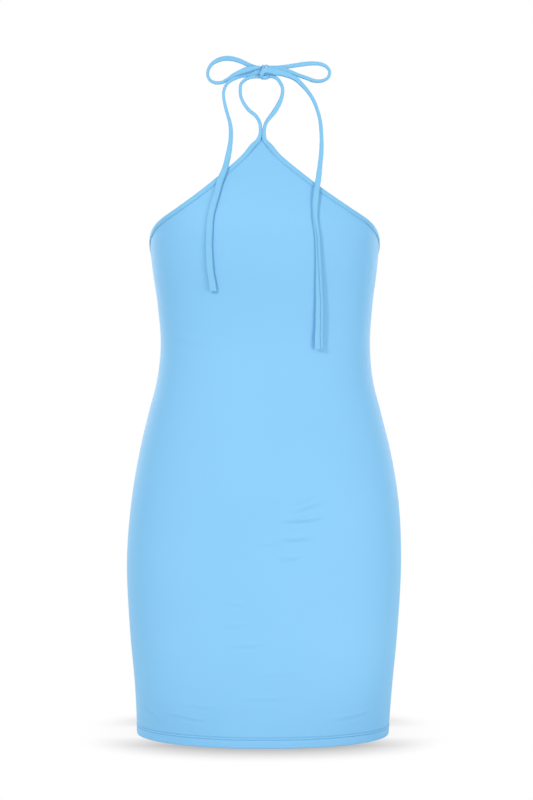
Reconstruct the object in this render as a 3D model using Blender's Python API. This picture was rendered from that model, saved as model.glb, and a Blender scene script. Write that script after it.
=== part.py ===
"""A halter dress in stretch jersey, filled out and held up by its neck loop.

World axes: +Z up, the front of the dress faces -Y, +X is on the viewer's right.
The origin is the place inside the top of the neck loop where the dress is held.
Sizes are written in millimetres and turned into metres when a mesh is made.
"""
import bpy
import bmesh
import numpy as np

MM = 0.001

# Driving sizes of the cloth
CLOTH = 1.2            # thickness of a panel
SEAM_GAP = 0.3         # room between two pieces that meet
HEM_Z = -806.0         # height of the hem below the place where it is held
HEM_TURN = 12.0        # depth of the hem that is turned up inside
HEM_EXTRA = 1.0        # thickness that the turned-up layer adds
HEM_STEP = 0.5         # height over which that layer ends
SEAM_INSET = 0.7 * SEAM_GAP    # room that a panel leaves at a side seam, at the hip
SEAM_Y = 55.0          # how far behind the neck loop the side seams lie

# Driving sizes of the binding
BIND_WIDTH = 7.0       # what shows of the folded binding, across it
BIND_CLOTH = 0.8       # thickness of one leaf of the binding
BIND_ROUND = 0.5       # rise of its rounded top edge
POINT_GAP = 0.12       # turn in degrees that each binding stops short of the neck point

# How finely the panels are divided
FRONT_COLUMNS = 37
BACK_COLUMNS = 31
PANEL_ROWS = 20

# Cross-sections of the body of the dress, one row for each level.
# height above the hem, half width, depth in front of the side seams,
# depth behind them, squareness of the outline, sideways place of the middle
BODY = np.array([
    (0.0, 156.8, 108.0, 92.0, 2.9, -1.6),
    (60.0, 159.8, 110.0, 97.0, 2.8, -0.6),
    (130.0, 166.2, 112.0, 106.0, 2.7, -0.4),
    (225.0, 170.4, 113.0, 116.0, 2.6, 0.1),
    (290.0, 166.2, 110.0, 112.0, 2.5, 1.2),
    (350.0, 156.5, 104.0, 99.0, 2.4, 1.3),
    (400.0, 144.5, 98.0, 88.0, 2.4, 1.0),
    (440.0, 134.5, 94.0, 81.0, 2.4, 1.2),
    (485.0, 130.5, 92.0, 78.0, 2.4, 1.6),
    (530.0, 133.5, 97.0, 80.0, 2.5, 1.3),
    (590.0, 141.0, 109.0, 86.0, 2.6, 0.8),
    (625.0, 143.0, 112.0, 89.0, 2.6, 0.4),
    (665.0, 139.0, 104.0, 88.0, 2.5, -1.2),
    (700.0, 130.0, 90.0, 84.0, 2.4, -2.8),
    (745.0, 112.0, 68.0, 80.0, 2.3, -4.0),
])

# The cut edge at the top, all round: turn from the middle of the front in degrees, height
EDGE = np.array([
    (0.0, 738.5),
    (2.2, 734.5),
    (5.0, 728.0),
    (10.0, 720.0),
    (16.0, 708.3),
    (24.5, 693.0),
    (35.5, 671.5),
    (43.6, 656.8),
    (52.7, 643.3),
    (64.3, 631.0),
    (74.5, 620.0),
    (90.0, 604.0),
    (105.0, 590.0),
    (125.0, 574.0),
    (150.0, 560.0),
    (180.0, 555.0),
])
HIP_LEVEL = 225.0      # the level where the columns of a panel are evenly spaced

# Neck straps and bow: places along each strip, x, y, z
NECK_STRAP_LEFT = [
    (-4.5, -16.8, -62.0), (-6.0, -14.6, -53.5), (-10.5, -12.6, -46.5), (-18.0, -10.4, -40.0),
    (-24.0, -8.4, -32.0), (-28.0, -6.0, -23.0), (-29.0, -4.0, -14.5), (-28.0, -2.0, -6.5),
    (-23.0, -0.8, -1.0), (-15.5, 0.0, 2.0), (-6.5, 0.3, 3.0),
]
NECK_STRAP_RIGHT = [
    (1.0, -16.8, -62.0), (3.5, -14.8, -54.5), (7.0, -13.0, -49.0), (13.0, -10.8, -41.0),
    (18.0, -8.4, -32.0), (22.0, -5.6, -21.0), (22.5, -3.0, -11.5), (19.0, -1.4, -3.5),
    (14.5, -0.2, 1.5), (7.5, 0.3, 4.0),
]
BOW_LOOP_LEFT = [
    (-6.5, 3.2, 14.0), (-17.0, 3.2, 17.0), (-28.0, 3.0, 22.0), (-38.0, 2.6, 25.0),
    (-46.5, 2.0, 25.5), (-56.5, 1.4, 23.0), (-64.0, 0.9, 18.0), (-68.0, 0.5, 11.0),
    (-68.5, 0.3, 4.0), (-65.5, 0.2, -1.5), (-59.0, 0.2, -4.5), (-52.5, 0.2, -4.5),
    (-45.5, 0.3, -1.5), (-38.0, 0.3, 4.0), (-30.5, 0.2, 9.0), (-20.5, 0.0, 12.0),
    (-6.5, -0.4, 12.5),
]
BOW_LOOP_RIGHT = [
    (7.5, 3.3, 14.5), (17.0, 3.4, 14.5), (26.5, 3.3, 15.5), (36.5, 3.0, 17.0),
    (46.5, 2.6, 18.5), (59.0, 2.0, 19.5), (69.0, 1.5, 18.5), (76.5, 1.1, 15.0),
    (80.0, 0.8, 9.0), (78.0, 0.6, 2.0), (70.5, 0.5, -2.0), (61.5, 0.4, -2.0),
    (51.5, 0.3, 1.5), (41.5, 0.3, 5.0), (33.0, 0.2, 8.5), (21.5, 0.1, 12.5),
    (7.5, -0.1, 13.5),
]
TIE_LEFT = [
    (-6.5, -1.5, 7.0), (-20.5, -2.6, 7.0), (-30.5, -3.5, 3.5), (-39.0, -4.1, -1.0),
    (-44.5, -4.3, -6.0), (-48.5, -4.6, -14.0), (-49.0, -6.0, -23.0), (-47.5, -8.4, -32.0),
    (-44.5, -12.0, -44.0), (-41.5, -16.0, -54.5), (-40.0, -20.5, -65.0), (-40.0, -26.0, -76.0),
    (-41.5, -32.0, -90.0),
]
TIE_RIGHT = [
    (7.5, -3.2, 8.5), (19.0, -3.4, 9.0), (29.0, -3.5, 5.0), (38.0, -3.7, 0.0),
    (46.5, -4.5, -8.0), (54.0, -6.0, -17.0), (60.0, -8.0, -27.0), (64.5, -11.0, -39.0),
    (67.5, -14.5, -50.5), (69.0, -18.0, -63.5), (69.5, -22.5, -77.5), (69.0, -28.0, -93.0),
    (67.5, -33.5, -107.0), (66.0, -38.5, -119.5),
]

# Where a tie lies on the front: x, z, distance of its middle from the cloth
TIE_LEFT_ON_FRONT = [
    (-44.7, -106.0, 3.8), (-47.0, -115.0, 3.7), (-52.0, -128.0, 2.7), (-56.5, -145.5, 2.2),
    (-61.0, -161.0, 2.1), (-64.0, -176.5, 2.1), (-65.0, -191.5, 2.2), (-65.5, -206.5, 2.6),
    (-65.0, -222.0, 3.0), (-64.0, -237.0, 3.4), (-62.0, -250.0, 3.6), (-60.5, -261.5, 3.8),
]
TIE_RIGHT_ON_FRONT = [
    (64.0, -133.5, 4.4), (62.5, -142.5, 4.0), (61.0, -157.0, 2.8), (61.0, -176.5, 2.8),
    (63.0, -191.5, 3.0), (64.5, -214.5, 3.4), (65.5, -240.5, 4.0), (66.0, -259.5, 4.5),
    (66.6, -278.5, 5.0), (66.4, -297.5, 5.5), (66.0, -316.5, 5.9), (66.0, -330.2, 6.2),
]

# Foot of a neck strap on the binding: turn from the middle of the front in degrees, room
FOOT_TURN = 2.1
FOOT_GAP = 0.6

# Strip sizes: share of the strip's length, width, thickness
NECK_STRAP_LEFT_SIZES = [
    (0.0, 4.4, 2.8), (0.25, 4.2, 2.6), (0.5, 4.2, 2.6), (0.75, 3.8, 3.0), (1.0, 4.4, 2.4),
]
NECK_STRAP_RIGHT_SIZES = [
    (0.0, 4.4, 2.8), (0.2, 4.2, 2.6), (0.45, 6.0, 2.0), (0.7, 4.2, 2.8), (1.0, 4.4, 2.4),
]
BOW_LOOP_SIZES = [
    (0.0, 4.4, 2.4), (0.2, 5.4, 2.4), (0.35, 5.4, 2.6), (0.5, 3.6, 4.2), (0.62, 4.2, 3.4),
    (0.8, 5.0, 2.4), (1.0, 4.2, 2.4),
]
TIE_LEFT_SIZES = [
    (0.0, 4.0, 2.4), (0.1, 4.0, 2.4), (0.2, 3.8, 2.8), (0.4, 5.4, 2.2), (0.55, 8.0, 1.8), (1.0, 9.4, 1.6),
]
TIE_RIGHT_SIZES = [
    (0.0, 4.4, 2.4), (0.12, 4.4, 2.4), (0.2, 4.8, 2.4), (0.4, 5.8, 2.2), (0.52, 7.2, 1.9),
    (0.61, 5.2, 3.0), (0.72, 7.8, 2.0), (1.0, 9.4, 1.6),
]

# Knot in the middle of the bow
KNOT_MIDDLE = (0.5, 0.2, 9.2)
KNOT_HALF = (6.4, 5.6, 8.6)
KNOT_SQUARENESS = 3.2
KNOT_RINGS = 9
KNOT_SIDES = 14

# Corners of a strip's rounded section, in half widths and half thicknesses
STRIP_ACROSS = np.array([1.0, 0.82, 0.0, -0.82, -1.0, -0.82, 0.0, 0.82])
STRIP_DEEP = np.array([0.0, 0.8, 1.0, 0.8, 0.0, -0.8, -1.0, -0.8])
STRIP_STEP = 6.5       # distance between two stations of a strip

BLUE = (0.26, 0.64, 0.96, 1.0)
BLUE_BINDING = (0.24, 0.62, 0.95, 1.0)


def curve_through(x, table_x, table_y):
    """Smooth curve through the rows of a table, read at x: a cubic between two rows,
    with the slope at each row the mean of the slopes on both sides of it."""
    step = np.diff(table_x)
    slope = np.diff(table_y) / step
    tangent = np.empty(len(table_x))
    tangent[0] = slope[0]
    tangent[-1] = slope[-1]
    tangent[1:-1] = (slope[:-1] * step[1:] + slope[1:] * step[:-1]) / (step[1:] + step[:-1])
    i = np.clip(np.searchsorted(table_x, x, side="right") - 1, 0, len(table_x) - 2)
    h = step[i]
    t = (x - table_x[i]) / h
    low = (2 * t**3 - 3 * t**2 + 1) * table_y[i] + (t**3 - 2 * t**2 + t) * h * tangent[i]
    high = (3 * t**2 - 2 * t**3) * table_y[i + 1] + (t**3 - t**2) * h * tangent[i + 1]
    return low + high


def body_point(turn, height):
    """Outside of the cloth at a turn from the middle of the front (radians) and a height
    above the hem: a rounded rectangle (superellipse) with its own depth at front and back."""
    columns = [curve_through(height, BODY[:, 0], BODY[:, k]) for k in range(1, 6)]
    half, front, back, square, middle = columns
    depth = np.where(np.cos(turn) >= 0.0, front, back)
    sideways = (np.abs(np.sin(turn)) / half)**square
    lengthways = (np.abs(np.cos(turn)) / depth)**square
    radius = (sideways + lengthways)**(-1.0 / square)
    x = middle + radius * np.sin(turn)
    y = SEAM_Y - radius * np.cos(turn)
    z = HEM_Z + height + 0.0 * turn
    return np.stack([x, y, z], axis=-1)


def body_normal(turn, height):
    """Direction square to the cloth, away from its inside, from two short steps on it."""
    along = body_point(turn + 0.002, height) - body_point(turn - 0.002, height)
    up = body_point(turn, height + 1.0) - body_point(turn, height - 1.0)
    normal = np.cross(along, up)
    return normal / np.linalg.norm(normal, axis=-1, keepdims=True)


def edge_height(turn):
    """Height of the finished top edge above the hem, the same on both sides."""
    from_middle = np.abs((np.degrees(turn) + 180.0) % 360.0 - 180.0)
    return curve_through(from_middle, EDGE[:, 0], EDGE[:, 1])


def panel_turns(start, end, count):
    """Turns of a panel's columns between two angles, evenly spaced round the hip,
    with room for the side seam left at both ends."""
    fine = np.radians(np.linspace(start, end, 721))
    points = body_point(fine, np.full_like(fine, HIP_LEVEL))
    length = np.concatenate([[0.0], np.cumsum(np.linalg.norm(np.diff(points, axis=0), axis=1))])
    places = np.linspace(SEAM_INSET, length[-1] - SEAM_INSET, count)
    return np.interp(places, length, fine)


def edge_stretch(turn):
    """How much longer a line straight up is than one square to the top edge."""
    step = 0.01
    ahead = edge_height(turn + step)
    behind = edge_height(turn - step)
    run = body_point(turn + step, ahead) - body_point(turn - step, behind)
    flat_run = np.hypot(run[..., 0], run[..., 1])
    return np.sqrt(1.0 + ((ahead - behind) / flat_run)**2)


def material(name, colour):
    """Plain matt cloth finish."""
    finish = bpy.data.materials.new(name)
    finish.use_nodes = True
    shader = finish.node_tree.nodes["Principled BSDF"]
    shader.inputs["Base Color"].default_value = colour
    shader.inputs["Roughness"].default_value = 0.75
    shader.inputs["Metallic"].default_value = 0.0
    return finish


def make_object(name, points, faces, colour):
    """Mesh object with its own material, in metres, its faces turned outwards."""
    mesh = bpy.data.meshes.new(name)
    mesh.from_pydata([tuple(p) for p in np.asarray(points) * MM], [], faces)
    work = bmesh.new()
    work.from_mesh(mesh)
    bmesh.ops.recalc_face_normals(work, faces=work.faces)
    work.to_mesh(mesh)
    work.free()
    mesh.shade_smooth()
    mesh.set_sharp_from_angle(angle=np.radians(50.0))
    mesh.materials.append(material(name, colour))
    part = bpy.data.objects.new(name, mesh)
    bpy.context.collection.objects.link(part)
    return part


def grid_faces(rows, columns, first=0, wrap=False):
    """Triangles of a grid of points counted row by row, as two for each square."""
    faces = []
    last = columns if wrap else columns - 1
    for i in range(rows - 1):
        for j in range(last):
            a = first + i * columns + j
            b = first + i * columns + (j + 1) % columns
            c = b + columns
            d = a + columns
            faces += [(a, b, c), (a, c, d)]
    return faces


def wall(name, outer, inner, colour):
    """Closed wall between two grids of the same size, joined round their four edges."""
    rows, columns = outer.shape[:2]
    half = rows * columns
    points = np.concatenate([outer.reshape(-1, 3), inner.reshape(-1, 3)])
    faces = grid_faces(rows, columns) + grid_faces(rows, columns, half)
    rim = [(0, j) for j in range(columns)]
    rim += [(i, columns - 1) for i in range(1, rows)]
    rim += [(rows - 1, j) for j in range(columns - 2, -1, -1)]
    rim += [(i, 0) for i in range(rows - 2, 0, -1)]
    for k in range(len(rim)):
        a = rim[k][0] * columns + rim[k][1]
        b = rim[(k + 1) % len(rim)][0] * columns + rim[(k + 1) % len(rim)][1]
        faces += [(a, b, b + half), (a, b + half, a + half)]
    return make_object(name, points, faces, colour)


def panel(name, turns):
    """One panel of the body: rows run from the hem up to the cut edge in the binding's fold.
    The cloth is its outer points moved in by its thickness, and more at the turned-up hem."""
    stretch = edge_stretch(turns)
    top = edge_height(turns) - (BIND_ROUND + BIND_CLOTH + SEAM_GAP) * stretch
    under_binding = edge_height(turns) - BIND_WIDTH * stretch
    share = np.linspace(0.0, 1.0, PANEL_ROWS)[1:, None]
    hem_rows = np.array([0.0, HEM_TURN, HEM_TURN + HEM_STEP])[:, None] + 0.0 * turns
    side_rows = hem_rows[-1] + share * (under_binding - hem_rows[-1])
    heights = np.concatenate([hem_rows, side_rows, top[None, :]])
    turn_grid = np.broadcast_to(turns, heights.shape)
    outer = body_point(turn_grid, heights)
    thickness = np.full(heights.shape, CLOTH)
    thickness[:2] += HEM_EXTRA
    inner = outer - body_normal(turn_grid, heights) * thickness[..., None]
    wall(name, outer, inner, BLUE)


def binding(name, turns):
    """Strip folded over the top edge of a panel. Both leaves are the panel's own points,
    moved out and in by the gap, and the fold closes round its cut edge."""
    stretch = edge_stretch(turns)
    edge = edge_height(turns)
    low = edge - BIND_WIDTH * stretch
    fold_inside = edge - (BIND_ROUND + BIND_CLOTH) * stretch
    fold_outside = edge - 2.0 * BIND_ROUND * stretch
    out_near = SEAM_GAP
    out_far = SEAM_GAP + BIND_CLOTH
    middle = -0.5 * CLOTH
    in_near = -CLOTH - SEAM_GAP
    in_far = in_near - BIND_CLOTH
    outer_rows = [(low, out_far), (fold_outside, out_far), (edge, middle)]
    outer_rows += [(fold_outside, in_far), (low, in_far)]
    inner_rows = [(low, out_near), (fold_inside, out_near), (fold_inside, middle)]
    inner_rows += [(fold_inside, in_near), (low, in_near)]
    outer = np.stack([body_point(turns, h) + body_normal(turns, h) * d for h, d in outer_rows])
    inner = np.stack([body_point(turns, h) + body_normal(turns, h) * d for h, d in inner_rows])
    wall(name, outer, inner, BLUE_BINDING)


def front_place(x, z, clear):
    """Point in front of the front panel at x and z, its distance measured along Y,
    and the direction in which the cloth faces there."""
    turn = np.radians(np.linspace(-88.0, 88.0, 353))
    height = np.full_like(turn, z - HEM_Z)
    points = body_point(turn, height)
    y = np.interp(x, points[:, 0], points[:, 1])
    here = np.interp(x, points[:, 0], turn)
    return (x, y - clear, z), body_normal(here, z - HEM_Z)


def strip_route(route, resting=()):
    """Points of a strip and the way that it faces: forward where it is free,
    square to the cloth where it lies on the front."""
    points = [np.array(p) for p in route]
    facing = [np.array([0.0, -1.0, 0.0]) for _ in route]
    for x, z, clear in resting:
        place, normal = front_place(x, z, clear)
        points.append(np.array(place))
        facing.append(normal)
    return np.array(points), np.array(facing)


def strip(name, route, sizes, resting=(), foot=None):
    """Flat strip along a smooth curve through its route, with a rounded section whose
    width and thickness follow its table of sizes. A foot bends its first end to an edge."""
    points, facing = strip_route(route, resting)
    chord = np.concatenate([[0.0], np.cumsum(np.linalg.norm(np.diff(points, axis=0), axis=1))])
    fine = np.linspace(0.0, chord[-1], 1200)
    path = np.stack([curve_through(fine, chord, points[:, k]) for k in range(3)], axis=1)
    length = np.concatenate([[0.0], np.cumsum(np.linalg.norm(np.diff(path, axis=0), axis=1))])
    stations = np.linspace(0.0, length[-1], int(length[-1] / STRIP_STEP) + 2)
    middle = np.stack([np.interp(stations, length, path[:, k]) for k in range(3)], axis=1)
    place = np.interp(stations, length, fine)
    front = np.stack([np.interp(place, chord, facing[:, k]) for k in range(3)], axis=1)
    tangent = np.gradient(middle, axis=0)
    tangent /= np.linalg.norm(tangent, axis=1, keepdims=True)
    across = np.cross(tangent, front)
    across /= np.linalg.norm(across, axis=1, keepdims=True)
    deep = np.cross(across, tangent)
    table = np.array(sizes)
    share = stations / length[-1]
    width = np.interp(share, table[:, 0], table[:, 1])
    thick = np.interp(share, table[:, 0], table[:, 2])
    rings = (middle[:, None, :]
             + across[:, None, :] * (STRIP_ACROSS[None, :, None] * width[:, None, None] / 2)
             + deep[:, None, :] * (STRIP_DEEP[None, :, None] * thick[:, None, None] / 2))
    if foot is not None:
        rings[0] = foot(rings[0])
    count, sides = rings.shape[:2]
    points = np.concatenate([rings.reshape(-1, 3), middle[[0, -1]]])
    if foot is not None:
        points[-2] = rings[0].mean(axis=0)
    faces = grid_faces(count, sides, wrap=True)
    last = (count - 1) * sides
    for k in range(sides):
        faces.append((count * sides, (k + 1) % sides, k))
        faces.append((count * sides + 1, last + k, last + (k + 1) % sides))
    make_object(name, points, faces, BLUE_BINDING)


def neck_foot(ring):
    """Lowest ring of a neck strap, set on the top edge of the binding below it."""
    turn = np.arctan2(ring[:, 0] - BODY[-1, 5], SEAM_Y - ring[:, 1])
    ring = ring.copy()
    ring[:, 2] = HEM_Z + edge_height(turn) + FOOT_GAP
    return ring


def neck_strap(name, side, route, sizes):
    """Neck strap from the point of the front up to the knot."""
    foot_turn = np.radians(FOOT_TURN * side)
    top = edge_height(foot_turn)
    base = body_point(foot_turn, top) - body_normal(foot_turn, top) * CLOTH / 2.0
    base[2] += FOOT_GAP
    strip(name, [tuple(base)] + list(route), sizes, foot=neck_foot)


def knot():
    """Pulled-tight knot: a ball with flattened sides."""
    work = bmesh.new()
    bmesh.ops.create_uvsphere(work, u_segments=KNOT_SIDES, v_segments=KNOT_RINGS, radius=1.0)
    for vertex in work.verts:
        p = np.array(vertex.co)
        size = np.sum(np.abs(p)**KNOT_SQUARENESS)**(1.0 / KNOT_SQUARENESS)
        vertex.co = p / size * np.array(KNOT_HALF) + np.array(KNOT_MIDDLE)
    bmesh.ops.triangulate(work, faces=work.faces)
    points = [tuple(v.co) for v in work.verts]
    faces = [tuple(v.index for v in f.verts) for f in work.faces]
    work.free()
    make_object("bow_knot", points, faces, BLUE_BINDING)


for old in list(bpy.data.objects):
    bpy.data.objects.remove(old, do_unlink=True)

front_turns = panel_turns(-90.0, 90.0, FRONT_COLUMNS)
back_turns = panel_turns(90.0, 270.0, BACK_COLUMNS)
panel("front_panel", front_turns)
panel("back_panel", back_turns)

middle_column = FRONT_COLUMNS // 2
point_gap = np.radians(POINT_GAP)
left_turns = front_turns[:middle_column + 1].copy()
left_turns[-1] = -point_gap
right_turns = front_turns[middle_column:].copy()
right_turns[0] = point_gap
binding("neck_binding_left", left_turns)
binding("neck_binding_right", right_turns)
binding("back_binding", back_turns)

neck_strap("neck_strap_left", -1.0, NECK_STRAP_LEFT, NECK_STRAP_LEFT_SIZES)
neck_strap("neck_strap_right", 1.0, NECK_STRAP_RIGHT, NECK_STRAP_RIGHT_SIZES)
knot()
strip("bow_loop_left", BOW_LOOP_LEFT, BOW_LOOP_SIZES)
strip("bow_loop_right", BOW_LOOP_RIGHT, BOW_LOOP_SIZES)
strip("tie_end_left", TIE_LEFT, TIE_LEFT_SIZES, TIE_LEFT_ON_FRONT)
strip("tie_end_right", TIE_RIGHT, TIE_RIGHT_SIZES, TIE_RIGHT_ON_FRONT)
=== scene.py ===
# %% [markdown]
# A halter dress in sky-blue jersey
#
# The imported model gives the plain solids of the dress: two panels, the binding round the
# top, the neck straps, the bow and its two ties. This lesson makes the cloth that is seen
# in their place. Every surface is worked out on a grid of points with numpy, in
# millimetres, from the same sizes as the solids, and is turned into metres at the end.

# %% Load the frame
import math
from collections import namedtuple

import bpy
import numpy as np
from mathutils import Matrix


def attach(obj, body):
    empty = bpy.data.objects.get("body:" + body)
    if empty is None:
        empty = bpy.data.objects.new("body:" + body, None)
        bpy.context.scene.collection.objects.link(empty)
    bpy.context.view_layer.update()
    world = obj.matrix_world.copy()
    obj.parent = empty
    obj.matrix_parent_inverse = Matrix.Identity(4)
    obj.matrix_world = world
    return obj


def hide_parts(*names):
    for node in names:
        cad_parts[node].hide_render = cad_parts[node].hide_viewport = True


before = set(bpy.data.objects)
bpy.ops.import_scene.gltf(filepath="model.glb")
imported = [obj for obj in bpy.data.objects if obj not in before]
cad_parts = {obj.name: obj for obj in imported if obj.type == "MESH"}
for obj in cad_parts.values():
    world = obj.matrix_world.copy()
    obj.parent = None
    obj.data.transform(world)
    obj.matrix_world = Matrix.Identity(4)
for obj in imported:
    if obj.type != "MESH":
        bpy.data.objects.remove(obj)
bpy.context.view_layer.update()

MM = 0.001

# %% [markdown]
# The camera
#
# The photograph is level and square to the front. The narrowing of the round hem towards
# its sides tells how far away the lens is: about 2.2 m from the side seams. A pixel is
# 1.25 mm there, and that sets the focal length.

# %% Camera
IMAGE_HEIGHT = 800  # pixels in the height of the photograph
PIXEL = 1.25  # millimetres in a pixel, in the plane of the side seams
CAMERA_AWAY = 2200.0  # from the camera to that plane
SEAM_Y = 55.0  # how far behind the neck loop the side seams lie
CAMERA_X = 3.05  # the camera looks straight at this place
CAMERA_Z = -391.2
SENSOR = 36.0  # height of the sensor that the focal length goes with


def new_object(name, data):
    """Object that shows a mesh, a lamp or a camera, put into the scene."""
    made = bpy.data.objects.new(name, data)
    bpy.context.collection.objects.link(made)
    return made


camera_data = bpy.data.cameras.new("camera")
camera_data.sensor_width = SENSOR
camera_data.lens = SENSOR * (CAMERA_AWAY / PIXEL) / IMAGE_HEIGHT
camera = new_object("camera", camera_data)
camera.location = (CAMERA_X * MM, (SEAM_Y - CAMERA_AWAY) * MM, CAMERA_Z * MM)
camera.rotation_euler = (math.radians(90.0), 0.0, 0.0)
bpy.context.scene.camera = camera
print("lens, mm:", round(camera_data.lens, 1))

# %% [markdown]
# Floor and light
#
# The dress floats just above a white floor with a thin soft shadow under the hem. A plain
# pale floor would come out a little grey, so to the camera this one shines white by itself.
# Near the hem this glow is darkened, a painted shadow, where the hem closes it in, in front of the
# dress and behind it, and hardly at the sides, as in the photograph. To light it is a plain pale
# surface.
#
# A white world gives much of the light, because such a picture is nearly free of shade. It
# is a little blue and the lamps a little warm, so that the shadows between folds stay a
# clean deep blue. A small lamp above at the left draws the creases and the shadows of the
# ties, a larger one, low and well to the right, softens them, and two behind the dress
# lighten its very outline. The view transform is the plain one, so that white stays white
# and the blue keeps its strength.


# %% Helpers for shader nodes
def set_inputs(node, values):
    """Numbers and colours on a node's own inputs, by name."""
    for label, value in dict(values).items():
        node.inputs[label].default_value = value


def add_node(tree, kind, values=(), **settings):
    """New node of a kind in a shader tree, with its settings, then its inputs by name."""
    node = tree.nodes.new(kind)
    for label, value in settings.items():
        setattr(node, label, value)
    set_inputs(node, values)
    return node


def wire(tree, *links):
    """Links in a shader tree: for each a node and its output, then a node and its input."""
    for source, output, target, entry in links:
        tree.links.new(source.outputs[output], target.inputs[entry])


# %% Floor
HEM_Z = -806.0  # height of the hem below the place where the dress is held
FLOOR_DROP = 0.6  # room between the hem and the floor
FLOOR_RADIUS = 800.0
SHADOW_REACH = 0.085  # metres from the hem at which its shadow on the floor ends
SHADOW_DARK = 0.50  # brightness of the floor in the deepest shadow
SHADOW_SIDE = 0.03  # metres in front of or behind the side seams: hardly any shadow
SHADOW_WHOLE = 0.085  # and the whole shadow from here on


def disc(name, radius, z, sides=96):
    """Flat round plate: points at equal turns on a circle."""
    turn = np.linspace(0.0, 2.0 * np.pi, sides, endpoint=False)
    points = np.stack([radius * np.cos(turn), radius * np.sin(turn), np.full(sides, z)], axis=1)
    mesh = bpy.data.meshes.new(name)
    mesh.from_pydata((points * MM).tolist(), [], [list(range(sides))])
    return new_object(name, mesh)


floor = disc("floor", FLOOR_RADIUS, HEM_Z - FLOOR_DROP)
floor_paint = bpy.data.materials.new("floor_paint")
floor_paint.use_nodes = True
paint = floor_paint.node_tree
plain = paint.nodes["Principled BSDF"]
set_inputs(plain, {"Base Color": (0.88, 0.86, 0.84, 1.0), "Roughness": 0.9, "Specular IOR Level": 0.1})
# painted shadow: the floor's glow, seen only by the camera, is darkened by how closed in it is near the
# hem
closed_in = add_node(paint, "ShaderNodeAmbientOcclusion", {"Distance": SHADOW_REACH}, samples=16)
painted_shadow_depth = add_node(paint, "ShaderNodeMapRange",
                    {"From Min": 0.5, "From Max": 0.96, "To Min": SHADOW_DARK})
place = add_node(paint, "ShaderNodeTexCoord")
parts = add_node(paint, "ShaderNodeSeparateXYZ")
from_seam = add_node(paint, "ShaderNodeMath", {1: SEAM_Y * MM}, operation="SUBTRACT")
away = add_node(paint, "ShaderNodeMath", operation="ABSOLUTE")
share = add_node(paint, "ShaderNodeMapRange",
                 {"From Min": SHADOW_SIDE, "From Max": SHADOW_WHOLE, "To Min": 0.12, "To Max": 1.0})
soft = add_node(paint, "ShaderNodeMix", {"A": 1.0})
white = add_node(paint, "ShaderNodeEmission")
seen = add_node(paint, "ShaderNodeLightPath")
either = add_node(paint, "ShaderNodeMixShader")
wire(paint, (closed_in, "AO", painted_shadow_depth, "Value"), (place, "Object", parts, 0),
     (parts, "Y", from_seam, 0), (from_seam, 0, away, 0), (away, 0, share, "Value"),
     (share, "Result", soft, "Factor"), (painted_shadow_depth, "Result", soft, "B"),
     (soft, "Result", white, "Strength"),
     (seen, "Is Camera Ray", either, "Fac"), (plain, "BSDF", either, 1), (white, "Emission", either, 2),
     (either, "Shader", paint.nodes["Material Output"], "Surface"))
floor.data.materials.append(floor_paint)
print("floor, metres below the neck loop:", -(HEM_Z - FLOOR_DROP) * MM)

# %% World and lamps
WORLD_LIGHT = 0.66
WORLD_TINT = (0.74, 0.98, 1.08, 1.0)
LAMP_TINT = (1.22, 0.95, 0.80)

world = bpy.data.worlds.new("studio")
bpy.context.scene.world = world
world.use_nodes = True
sky = world.node_tree
seen = add_node(sky, "ShaderNodeLightPath")
strength = add_node(sky, "ShaderNodeMapRange", {"To Min": WORLD_LIGHT, "To Max": 1.0})
tint = add_node(sky, "ShaderNodeMix", {"A": WORLD_TINT, "B": (1.0, 1.0, 1.0, 1.0)}, data_type="RGBA")
wire(sky, (seen, "Is Camera Ray", strength, "Value"), (seen, "Is Camera Ray", tint, "Factor"),
     (tint, "Result", sky.nodes["Background"], "Color"),
     (strength, "Result", sky.nodes["Background"], "Strength"))


def lamp(name, place, aim, size, power):
    """Square soft lamp at a place, turned towards another, both in metres."""
    data = bpy.data.lights.new(name, "AREA")
    data.shape = "SQUARE"
    data.size = size
    data.energy = power
    data.color = LAMP_TINT
    lit = new_object(name, data)
    way = np.array(aim) - np.array(place)
    tilt = math.atan2(math.hypot(way[0], way[1]), -way[2])
    lit.location = place
    lit.rotation_euler = (tilt, 0.0, math.atan2(way[1], way[0]) - math.radians(90.0))


lamp("key", (-1.8, -2.65, 1.1), (0.0, 0.0, -0.5), 0.35, 43.0)
lamp("fill", (2.2, -2.35, -0.5), (0.0, 0.0, -0.55), 1.4, 32.0)
lamp("rim_left", (-1.7, 2.4, 0.1), (0.0, 0.0, -0.5), 1.2, 22.0)
lamp("rim_right", (1.7, 2.4, 0.1), (0.0, 0.0, -0.5), 1.2, 22.0)
bpy.context.scene.view_settings.view_transform = "Standard"

# %% [markdown]
# The jersey
#
# Jersey is a fine knit: upright ribs of V-shaped loops, about 0.7 mm apart. From a step
# away it is only a soft, even, faintly shining surface. The loops could be made as real
# threads, but there would be a million of them, so they are a small bump worked out from
# the piece's own map of the cloth in metres. One node group makes the knit for every
# material, and another makes the slow unevenness of the dye.


# %% Node groups for the knit and the dye
def new_group(name, inputs, outputs):
    """Empty shader node group with named number sockets, and vectors where a name says so."""
    group = bpy.data.node_groups.new(name, "ShaderNodeTree")
    for label, value in inputs:
        kind = "NodeSocketVector" if value is None else "NodeSocketFloat"
        socket = group.interface.new_socket(name=label, in_out="INPUT", socket_type=kind)
        if value is not None:
            socket.default_value = value
    for label in outputs:
        group.interface.new_socket(name=label, in_out="OUTPUT", socket_type="NodeSocketFloat")
    return group, group.nodes.new("NodeGroupInput"), group.nodes.new("NodeGroupOutput")


def sums(group):
    """Short way to add a maths node: sums(group)(operation, a, b) gives its output."""
    def add(operation, *values):
        node = group.nodes.new("ShaderNodeMath")
        node.operation = operation
        for k, value in enumerate(values):
            if hasattr(value, "is_linked"):
                group.links.new(value, node.inputs[k])
            else:
                node.inputs[k].default_value = value
        return node.outputs[0]
    return add


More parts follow.
